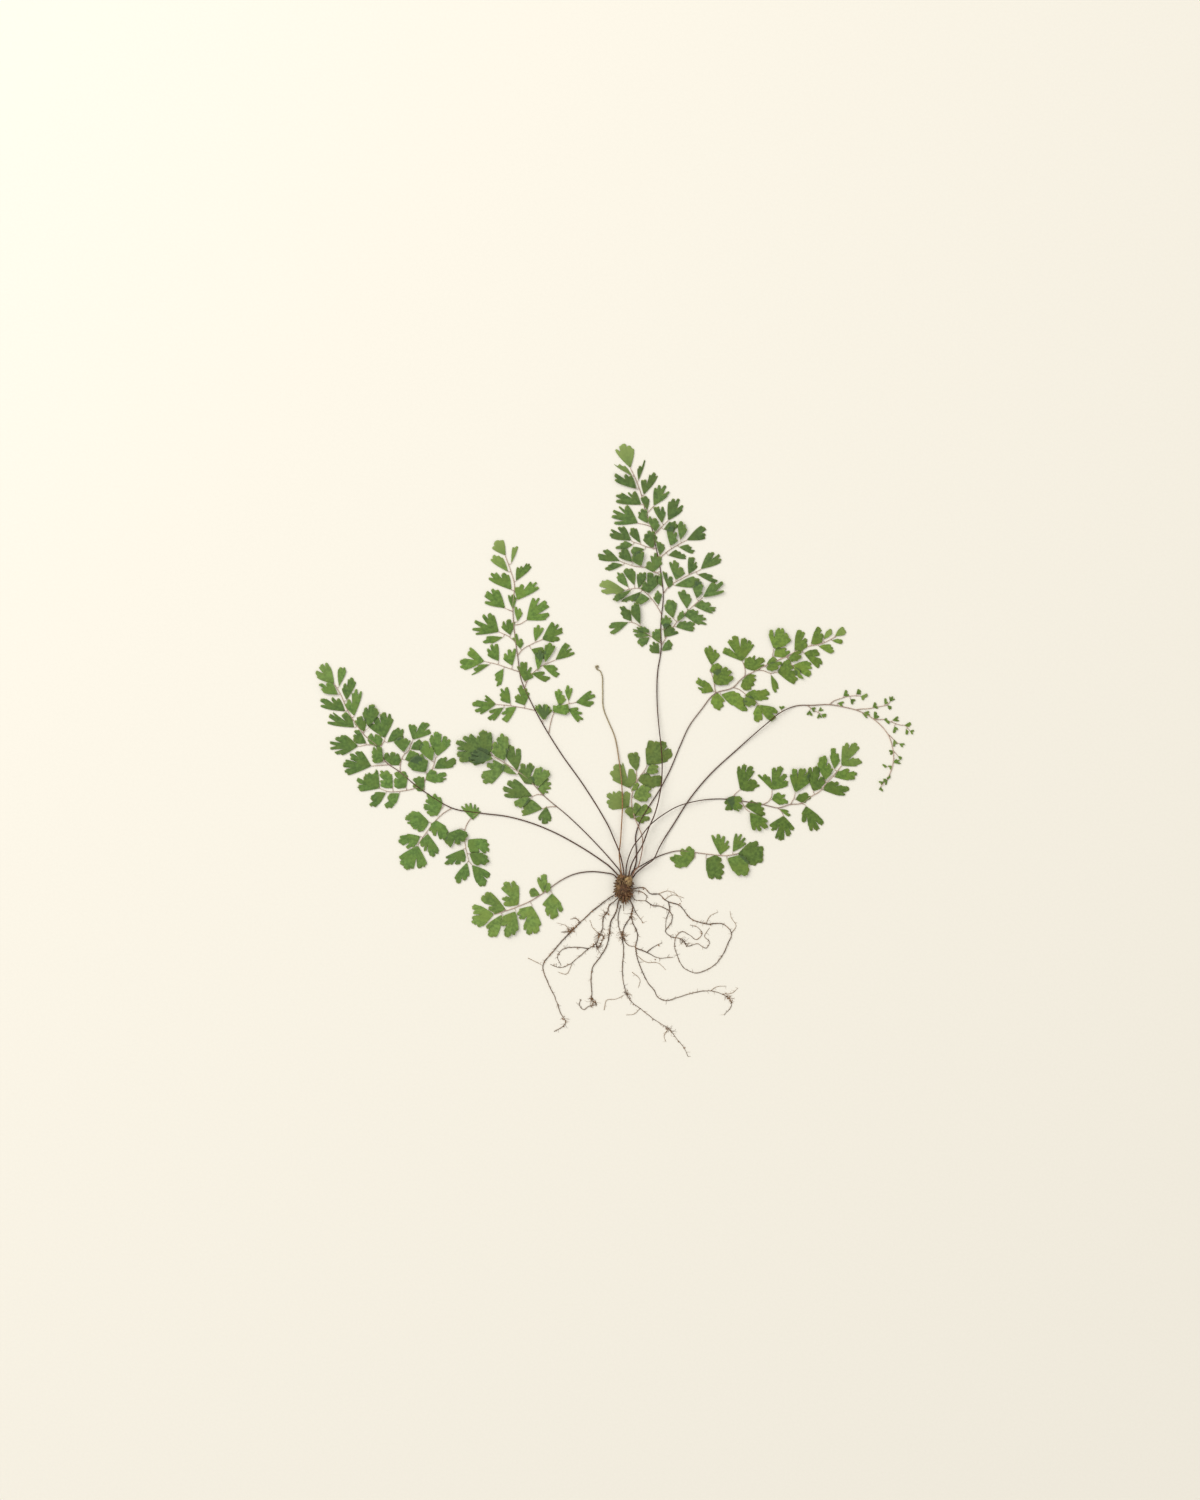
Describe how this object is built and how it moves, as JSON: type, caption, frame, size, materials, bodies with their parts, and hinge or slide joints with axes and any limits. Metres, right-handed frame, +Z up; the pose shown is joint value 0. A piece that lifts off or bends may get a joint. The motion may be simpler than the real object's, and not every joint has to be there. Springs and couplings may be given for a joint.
{
  "type": "maidenhair fern",
  "caption": "Whole pressed maidenhair fern lying flat: fan-shaped, lobed leaflets on thin wiry stems that spread from a scaly rhizome, with a coiled young shoot and trailing roots.",
  "frame": {"origin": "middle of the rhizome's flat underside, on the surface that the plant lies on", "axes": "+Z up from that surface, +Y towards the tip of the tallest frond, +X to the right seen from above"},
  "size_m": [0.2983, 0.305, 0.0057],
  "materials": {
    "leaf": "matte, thin, slightly translucent",
    "young_leaf": "matte, thin",
    "stipe": "satin, wiry",
    "rhizome": "rough, scaly",
    "root": "rough, fibrous"
  },
  "bodies": {
    "root": {"frond_upper_right": "leaf", "frond_inner_centre": "leaf", "frond_top": "leaf", "frond_upper_left": "leaf", "frond_far_left": "leaf", "frond_young_right": "young_leaf", "frond_right": "leaf", "frond_lower_right": "leaf", "frond_lower_left": "leaf", "frond_inner_left": "leaf", "crozier": "stipe", "root_far_left": "root", "root_left": "root", "root_inner_left": "root", "root_short": "root", "roots_middle": "root", "roots_right": "root", "rhizome": "rhizome"}
  },
  "joints": []
}
